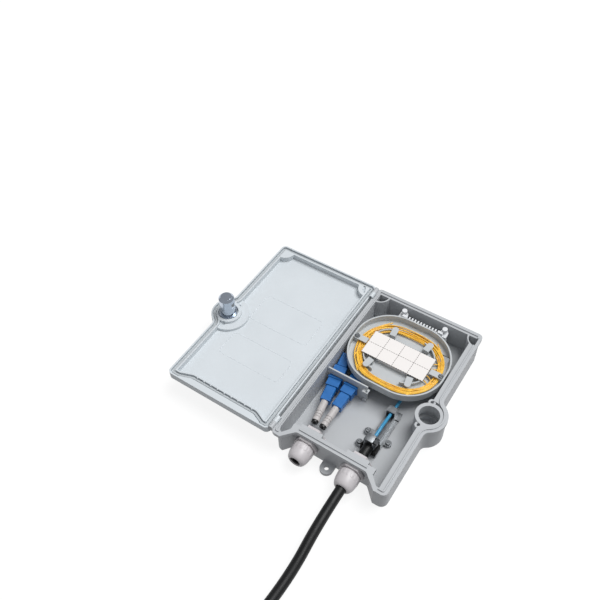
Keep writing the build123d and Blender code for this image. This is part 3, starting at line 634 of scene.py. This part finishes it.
class RingOfRibs(GeometryTree):
    """Rounded ribs set evenly round a circle about Z."""

    def __init__(self) -> None:
        """Name the ring's sizes."""
        super().__init__("Ring of ribs", {
            "Count": "NodeSocketInt", "Radius": "NodeSocketFloat", "Size": "NodeSocketVector",
            "Material": "NodeSocketMaterial"})

    def build(self) -> bpy.types.NodeTree:
        """Build the tree."""
        tree, given = self.start()
        ring = add(tree, "GeometryNodeMeshCircle", {"Vertices": given.outputs["Count"],
                                                    "Radius": given.outputs["Radius"]})
        rib = add(tree, "GeometryNodeMeshUVSphere", {"Segments": 12, "Rings": 8, "Radius": 0.5})
        place = add(tree, "GeometryNodeInputPosition").outputs[0]
        turn = add(tree, "FunctionNodeAlignRotationToVector", {"Vector": place}, axis="X")
        ribs = add(tree, "GeometryNodeInstanceOnPoints", {
            "Points": ring.outputs[0], "Instance": rib.outputs[0], "Rotation": turn.outputs[0],
            "Scale": given.outputs["Size"]})
        self.close(tree, ribs.outputs[0], given.outputs["Material"])
        return tree


# ---- Studio ---------------------------------------------------------------------------------------------
@dataclass
class Studio:
    """Camera, pale floor, soft top light and sky."""

    azimuth_deg: float = 34.8
    elevation_deg: float = 49.7
    roll_deg: float = -2.0
    distance: float = 0.748
    target: Point = (-0.123, 0.0435, 0.030)
    lens_mm: float = 42.4
    sun_from: Point = (0.30, 0.34, 1.0)
    sun_strength: float = 2.45
    sun_width_deg: float = 38.0
    sky_top: float = 0.42
    sky_low: float = 0.17
    floor_half: float = 6.0

    def camera(self) -> bpy.types.Object:
        """Set the camera up at a three-quarter view from above."""
        a, e, roll = (math.radians(v) for v in (self.azimuth_deg, self.elevation_deg, self.roll_deg))
        back = Vector((math.sin(a) * math.cos(e), -math.cos(a) * math.cos(e), math.sin(e)))
        right = Vector((math.cos(a), math.sin(a), 0.0))
        up = back.cross(right)
        across = right * math.cos(roll) + up * math.sin(roll)
        upward = up * math.cos(roll) - right * math.sin(roll)
        data = bpy.data.cameras.new("camera")
        data.lens = self.lens_mm
        data.clip_start = 0.01
        data.clip_end = 50.0
        camera = new_object("camera", data)
        turn = Matrix((across, upward, back)).transposed().to_4x4()
        camera.matrix_world = Matrix.Translation(Vector(self.target) + back * self.distance) @ turn
        bpy.context.scene.camera = camera
        return camera

    def floor(self) -> None:
        """Lay the pale floor that the box and its cable lie on."""
        mesh = bpy.data.meshes.new("floor")
        half = self.floor_half
        corners = [(-half, -half, 0), (half, -half, 0), (half, half, 0), (-half, half, 0)]
        mesh.from_pydata(corners, [], [(0, 1, 2, 3)])
        floor = new_object("floor", mesh)
        paper = LitPaper("Lit studio paper, white", "#6E6E6E", 0.9, 1.3, 3.0, 0.001, 0.004, 300.0, 0.1)
        mesh.materials.append(paper.build())
        floor.visible_diffuse = False

    def lights(self) -> None:
        """Light the scene from above with one broad sun and an even sky."""
        data = bpy.data.lights.new("softbox", "SUN")
        data.energy = self.sun_strength
        data.angle = math.radians(self.sun_width_deg)
        light = new_object("softbox", data)
        light.rotation_mode = "QUATERNION"
        light.rotation_quaternion = Vector(self.sun_from).to_track_quat("Z", "Y")
        world = bpy.data.worlds.new("studio")
        bpy.context.scene.world = world
        world.use_nodes = True
        tree = world.node_tree
        direction = add(tree, "ShaderNodeTexCoord").outputs["Generated"]
        height = add(tree, "ShaderNodeSeparateXYZ", {"Vector": direction}).outputs["Z"]
        level = add(tree, "ShaderNodeMapRange", {"Value": height, "From Min": -0.05, "From Max": 0.05,
                                                 "To Min": self.sky_low, "To Max": self.sky_top})
        background = tree.nodes["Background"]
        background.inputs["Color"].default_value = linear("#FBFCFF")
        tree.links.new(level.outputs["Result"], background.inputs["Strength"])
        bpy.context.scene.view_settings.view_transform = "Standard"

    def build(self) -> None:
        """Build the whole studio but its camera."""
        self.floor()
        self.lights()
        LOG.info("studio ready")


# ---- Feeder cable ---------------------------------------------------------------------------------------
@dataclass
class FeederCable:
    """Black feeder cable from the right gland to its neat coil, with its cap and tie."""

    route: tuple[Point, ...] = ((0.0205, -0.110, 0.015), (0.0205, -0.148, 0.015), (0.023, -0.190, 0.008),
                                (0.020, -0.235, 0.0056), (0.015, -0.272, 0.0057))
    diameter: float = 0.010
    coil_at: tuple[float, float] = (0.075, -0.300)
    coil_radius: float = 0.062
    turns: float = 2.45
    pitch: float = 0.0102
    per_turn: int = 16
    rest_z: float = 0.0057
    strap_width: float = 0.014
    strap_thick: float = 0.0009
    strap_play: float = 0.0008                  # between the strap and the coil's turns
    strap_corner: float = 0.0042
    strap_end: tuple[int, int] = (9, 13)        # the loop's points that the loose end lies over

    def points(self) -> list[Point]:
        """The route's own points and then the coil's, ending inside the cap."""
        low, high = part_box("cable_cap")
        steps = round(self.turns * self.per_turn)
        coil = []
        for k in range(steps):
            share = k / self.per_turn
            turn = math.pi + 2 * math.pi * share
            radius = self.coil_radius - self.pitch * share
            coil.append((self.coil_at[0] + radius * math.cos(turn), self.coil_at[1] + radius * math.sin(turn),
                         self.rest_z))
        cap_x = (low.x + high.x) / 2
        return [*self.route, *coil, (cap_x, low.y + 0.001, self.rest_z), (cap_x, low.y + 0.008, self.rest_z)]

    def strap(self) -> bpy.types.Object:
        """Wrap the hook-and-loop tie round the coil's turns, with its end laid back over itself."""
        cx, cy = self.coil_at
        inner = self.coil_radius - self.pitch * (self.turns - 0.2) - self.diameter / 2 - self.strap_play
        outer = self.coil_radius - self.pitch * 0.25 + self.diameter / 2 + self.strap_play
        low_z, high_z = 0.0004, self.rest_z + self.diameter / 2 + 0.0005
        loop = rounded_loop((cy - outer, cy - inner), (low_z, high_z), 0.0, self.strap_corner, 6)
        loop = [(y, z) for y, z, _ in loop]
        tail = [(y - 0.0002, z + self.strap_thick) for y, z in loop[slice(*self.strap_end)]]
        meshes = []
        for line, closed in ((loop, True), (tail, False)):
            meshes.append(self.band(line, closed, cx))
        return new_object("coil_strap", merge("coil_strap", meshes))

    def band(self, line: list[tuple[float, float]], closed: bool, x: float) -> bpy.types.Mesh:
        """A flat band of the strap's width and thickness, along a line in the YZ plane."""
        middle = Vector((sum(p[0] for p in line) / len(line), sum(p[1] for p in line) / len(line)))
        count, half = len(line), self.strap_width / 2
        points = []
        for i, place in enumerate(line):
            before = Vector(line[i - 1] if closed or i else line[i])
            after = Vector(line[(i + 1) % count] if closed or i < count - 1 else line[i])
            along = (after - before).normalized()
            out = Vector((along.y, -along.x))
            if out.dot(Vector(place) - middle) < 0:
                out = -out
            for side in (-half, half):
                for depth in (0.0, self.strap_thick):
                    spot = Vector(place) + out * depth
                    points.append((x + side, spot.x, max(0.0001, spot.y)))
        faces = []
        order = (0, 1, 3, 2)
        for i in range(count if closed else count - 1):
            j = (i + 1) % count
            for a, b in zip(order, order[1:] + order[:1]):
                faces.append((4 * i + a, 4 * i + b, 4 * j + b, 4 * j + a))
        if not closed:
            faces.append(tuple(order))
            faces.append(tuple(4 * (count - 1) + i for i in reversed(order)))
        mesh = bpy.data.meshes.new("band")
        mesh.from_pydata(points, [], faces)
        return mesh

    def length(self, cord: bpy.types.Object) -> float:
        """Length of the cord's own line, in metres."""
        bare = cord.copy()
        bare.data = cord.data.copy()
        bare.data.bevel_depth = 0.0
        bpy.context.scene.collection.objects.link(bare)
        mesh = bake(bare)
        ends = [[mesh.vertices[i].co for i in edge.vertices] for edge in mesh.edges]
        total = sum((a - b).length for a, b in ends)
        bpy.data.meshes.remove(mesh)
        return total

    def build(self, wardrobe: Wardrobe, frame: dict[str, Any]) -> None:
        """Build the cord and its strap, and log the cord's length."""
        cord = smooth_curve("feeder_cord", self.points(), self.diameter / 2)
        wardrobe.dress(cord, Slot.SHEATH_BLACK)
        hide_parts("feeder_cable", "feeder_coil")
        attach(cord, "base")
        strap = self.strap()
        wardrobe.dress(strap, Slot.TIE_BLACK)
        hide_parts("coil_tie")
        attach(strap, "base")
        total = self.length(cord)
        LOG.info("feeder cable %.3f m", total)


# ---- Splice tray ----------------------------------------------------------------------------------------
@dataclass
class Bundle:
    """One bundle of fibre laid round the tray."""

    name: str
    inset: tuple[float, float, float, float]    # from the tray's -X, +X, -Y and +Y sides
    z: float
    count: int
    width: float
    height: float
    wander: float
    seed: int


@dataclass
class SpliceTray:
    """Yellow fibre in the tray, and its splice leads."""

    side_x: tuple[float, float] = (-0.053, 0.049)
    side_y: tuple[float, float] = (-0.006, 0.083)
    fibre_radius: float = 0.00058
    roundness: float = 0.46         # corner radius of a bundle over its narrower side
    outer: tuple[Bundle, ...] = (
        Bundle("outer", (0.0080, 0.0056, 0.0064, 0.0100), 0.0219, 3, 0.0016, 0.0026, 0.0034, 3),
        Bundle("lock side", (0.0106, 0.0066, 0.0074, 0.0124), 0.0221, 3, 0.0018, 0.0028, 0.0040, 11),
    )
    inner: tuple[Bundle, ...] = (
        Bundle("inner", (0.0128, 0.0078, 0.0084, 0.0144), 0.0218, 2, 0.0016, 0.0022, 0.0036, 21),
        Bundle("thick side", (0.0142, 0.0090, 0.0098, 0.0160), 0.0219, 3, 0.0018, 0.0024, 0.0038, 31),
    )
    lead_ends: tuple[tuple[float, float, float, float], ...] = (
        (-0.0245, 0.0279, -0.0380, 0.0140), (-0.0245, 0.0343, -0.0385, 0.0200),
        (-0.0245, 0.0407, -0.0390, 0.0560), (-0.0245, 0.0471, -0.0370, 0.0610),
        (0.0205, 0.0279, 0.0350, 0.0140), (0.0205, 0.0343, 0.0360, 0.0200),
        (0.0205, 0.0407, 0.0365, 0.0560), (0.0205, 0.0471, 0.0340, 0.0610))
    lead_heights: tuple[float, ...] = (0.0239, 0.0236, 0.0232, 0.0236, 0.0238)

    def bundle(self, tree: bpy.types.NodeTree, maker: StrandBundle, plan: Bundle,
               material: bpy.types.Material) -> bpy.types.Mesh:
        """Lay one bundle."""
        left, right, near, far = plan.inset
        x = (self.side_x[0] + left, self.side_x[1] - right)
        y = (self.side_y[0] + near, self.side_y[1] - far)
        corner = min(x[1] - x[0], y[1] - y[0]) * self.roundness
        guide = smooth_curve(plan.name, rounded_loop(x, y, plan.z, corner), 0.0, closed=True)
        return maker.apply(tree, guide, {
            "Count": plan.count, "Width": plan.width, "Height": plan.height, "Wander": plan.wander,
            "Radius": self.fibre_radius, "Step": 0.004, "Seed": plan.seed, "Material": material})

    def leads(self, material: bpy.types.Material) -> bpy.types.Mesh:
        """Single fibres from the bundles to the ends of the splice sleeves."""
        meshes = []
        for x0, y0, x1, y1 in self.lead_ends:
            side = math.copysign(1.0, x1)
            bend = math.copysign(1.0, y1 - y0)
            spots = ((x0, y0), (x0 + side * 0.008, y0), (x1 + side * 0.003, y0 + bend * 0.004),
                     (x1 + side * 0.002, y1), (x1 - side * 0.010, y1 + bend * 0.012))
            line = [(x, y, z) for (x, y), z in zip(spots, self.lead_heights)]
            meshes.append(bake(smooth_curve("lead", line, self.fibre_radius)))
        mesh = merge("splice_leads", meshes)
        mesh.materials.append(material)
        return mesh

    def build(self, wardrobe: Wardrobe) -> None:
        """Build the bundles and the leads."""
        maker = StrandBundle()
        tree = maker.build()
        material = wardrobe.material(Slot.FIBRE_YELLOW)
        for name, plans in (("fibre_coil_outer", self.outer), ("fibre_coil_inner", self.inner)):
            meshes = [self.bundle(tree, maker, plan, material) for plan in plans]
            piece = new_object(f"spare_{name}", merge(name, meshes, 60))
            wardrobe.dress(piece, Slot.FIBRE_YELLOW)
            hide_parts(name)
            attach(piece, "base")
        leads = new_object("splice_leads", self.leads(material))
        wardrobe.dress(leads, Slot.FIBRE_YELLOW)
        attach(leads, "base")
        LOG.info("splice tray fibre laid")


# ---- Cable glands ---------------------------------------------------------------------------------------
@dataclass
class GlandNut:
    """Domed gland nut with a ribbed collar, turned about the gland's axis."""

    tip_y: float = -0.110
    axis_z: float = 0.015
    ribs: int = 16
    rib_ring: float = 0.0103        # radius that the ribs' middles lie on
    rib_from_tip: float = 0.0128
    rib_size: Point = (0.0009, 0.0034, 0.0056)
    # radius and distance from the tip, in millimetres: mouth, dome, waist, collar, and the bore back
    outline: tuple[tuple[float, float], ...] = (
        (5.35, 0.5), (5.5, 0.1), (5.9, 0.0), (6.8, 0.2), (7.8, 0.9), (8.7, 2.1), (9.4, 3.8), (9.9, 5.8),
        (10.2, 7.8), (10.4, 9.6), (10.55, 11.4), (10.6, 15.2), (10.3, 16.1), (9.6, 16.4), (8.35, 16.4),
        (8.35, 8.0), (5.35, 3.0))

    def build(self, wardrobe: Wardrobe, x: float, node: str, body: str, tree: bpy.types.NodeTree) -> None:
        """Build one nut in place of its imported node.

        Args:
            wardrobe: The materials.
            x: The gland's place across the box.
            node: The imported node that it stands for.
            body: The body that it rides on.
            tree: The ring-of-ribs tree.
        """
        dome = lathe([(r * MM, h * MM) for r, h in self.outline], 72)
        seed = new_object("seed", bpy.data.meshes.new("seed"))
        ribs = RingOfRibs().apply(tree, seed, {"Count": self.ribs, "Radius": self.rib_ring,
                                               "Size": self.rib_size,
                                               "Material": wardrobe.material(Slot.NYLON_GREY)})
        ribs.transform(Matrix.Translation((0, 0, self.rib_from_tip)))
        mesh = merge(f"dome_{node}", [dome, ribs], 35)
        mesh.transform(Matrix.Translation((x, self.tip_y, self.axis_z))
                       @ Matrix.Rotation(-math.pi / 2, 4, "X"))
        nut = new_object(f"dome_{node}", mesh)
        wardrobe.dress(nut, Slot.NYLON_GREY)
        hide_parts(node)
        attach(nut, body)


# ---- Clamp ----------------------------------------------------------------------------------------------
@dataclass
class ClampBand:
    """Worm-drive band round the cable's end: pressed ridges, and the folded housing of its screw."""

    x: float = 0.0205
    y: float = -0.057
    z: float = 0.015
    radius: float = 0.00505
    thick: float = 0.0008
    half_width: float = 0.004
    edge: float = 0.0002            # chamfer of the band's outer edges
    ridges: int = 26
    ridge_size: Point = (0.0006, 0.0007, 0.0052)

    def build(self, wardrobe: Wardrobe, tree: bpy.types.NodeTree) -> None:
        """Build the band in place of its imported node."""
        r0, r1, w = self.radius, self.radius + self.thick, self.half_width
        ring = lathe([(r0, -w), (r1 - self.edge, -w), (r1, -w + 0.0003), (r1, w - 0.0003),
                      (r1 - self.edge, w), (r0, w)])
        seed = new_object("seed", bpy.data.meshes.new("seed"))
        ridges = RingOfRibs().apply(tree, seed, {"Count": self.ridges, "Radius": r1 - 0.00005,
                                                 "Size": self.ridge_size,
                                                 "Material": wardrobe.material(Slot.STEEL)})
        turn = Matrix.Translation((self.x, self.y, self.z)) @ Matrix.Rotation(math.pi / 2, 4, "X")
        for mesh in (ring, ridges):
            mesh.transform(turn)
        top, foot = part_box("clamp_band")[1].z, self.z + r1 - 0.0006
        left, right = self.x - 0.0055, self.x + 0.0035
        near, far = self.y - 0.0042, self.y + 0.0042
        wall, wall_top = 0.0008, top - 0.0004
        plates = [
            block((left, near, top - 0.0009), (right, far, top), 0.3),
            block((left, near, foot), (right, near + wall, wall_top), 0.2),
            block((left, far - wall, foot), (right, far, wall_top), 0.2),
            block((self.x - 0.0062, self.y - 0.0036, foot - 0.0001),
                  (self.x + 0.0042, self.y + 0.0036, foot + 0.0009), 0.2)]
        band = new_object("worm_band", merge("worm_band", [ring, ridges, *plates], 35))
        wardrobe.dress(band, Slot.STEEL)
        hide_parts("clamp_band")
        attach(band, "base")
        LOG.info("clamp band built")


# ---- Lid ------------------------------------------------------------------------------------------------
@dataclass
class LidPanel:
    """Two faint moulded outlines on the lid's inner face."""

    face_z: float = 0.0238
    line: float = 0.00035
    outlines: tuple[tuple[float, float, float, float], ...] = (
        (-0.158, -0.088, -0.001, 0.035), (-0.159, -0.087, -0.053, -0.024))

    def build(self, wardrobe: Wardrobe) -> None:
        """Raise the outlines as thin beads."""
        meshes = []
        for x0, x1, y0, y1 in self.outlines:
            loop = rounded_loop((x0, x1), (y0, y1), self.face_z, 0.004, 4)
            meshes.append(bake(smooth_curve("bead", loop, self.line, closed=True)))
        beads = new_object("lid_beads", merge("lid_beads", meshes, 60))
        # the beads take the lid's paler ABS copy, whose colour paints the light falling flat on the lid
        wardrobe.dress(beads, Slot.ABS_LID_PAINTED_LIGHT)
        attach(beads, "lid")


def main() -> None:
    """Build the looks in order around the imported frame."""
    logging.basicConfig(level=logging.INFO, format="%(name)s: %(message)s")
    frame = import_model()
    studio = Studio()
    studio.camera()
    wardrobe = Wardrobe()
    wardrobe.dress_frame(frame)
    FeederCable().build(wardrobe, frame)
    SpliceTray().build(wardrobe)
    ribs = RingOfRibs().build()
    for x, node, body in ((-0.0285, "gland_nut_1", "gland_nut_left"),
                          (0.0205, "gland_nut_2", "gland_nut_right")):
        GlandNut().build(wardrobe, x, node, body, ribs)
    ClampBand().build(wardrobe, ribs)
    LidPanel().build(wardrobe)
    studio.build()


if __name__ == "__main__":
    main()
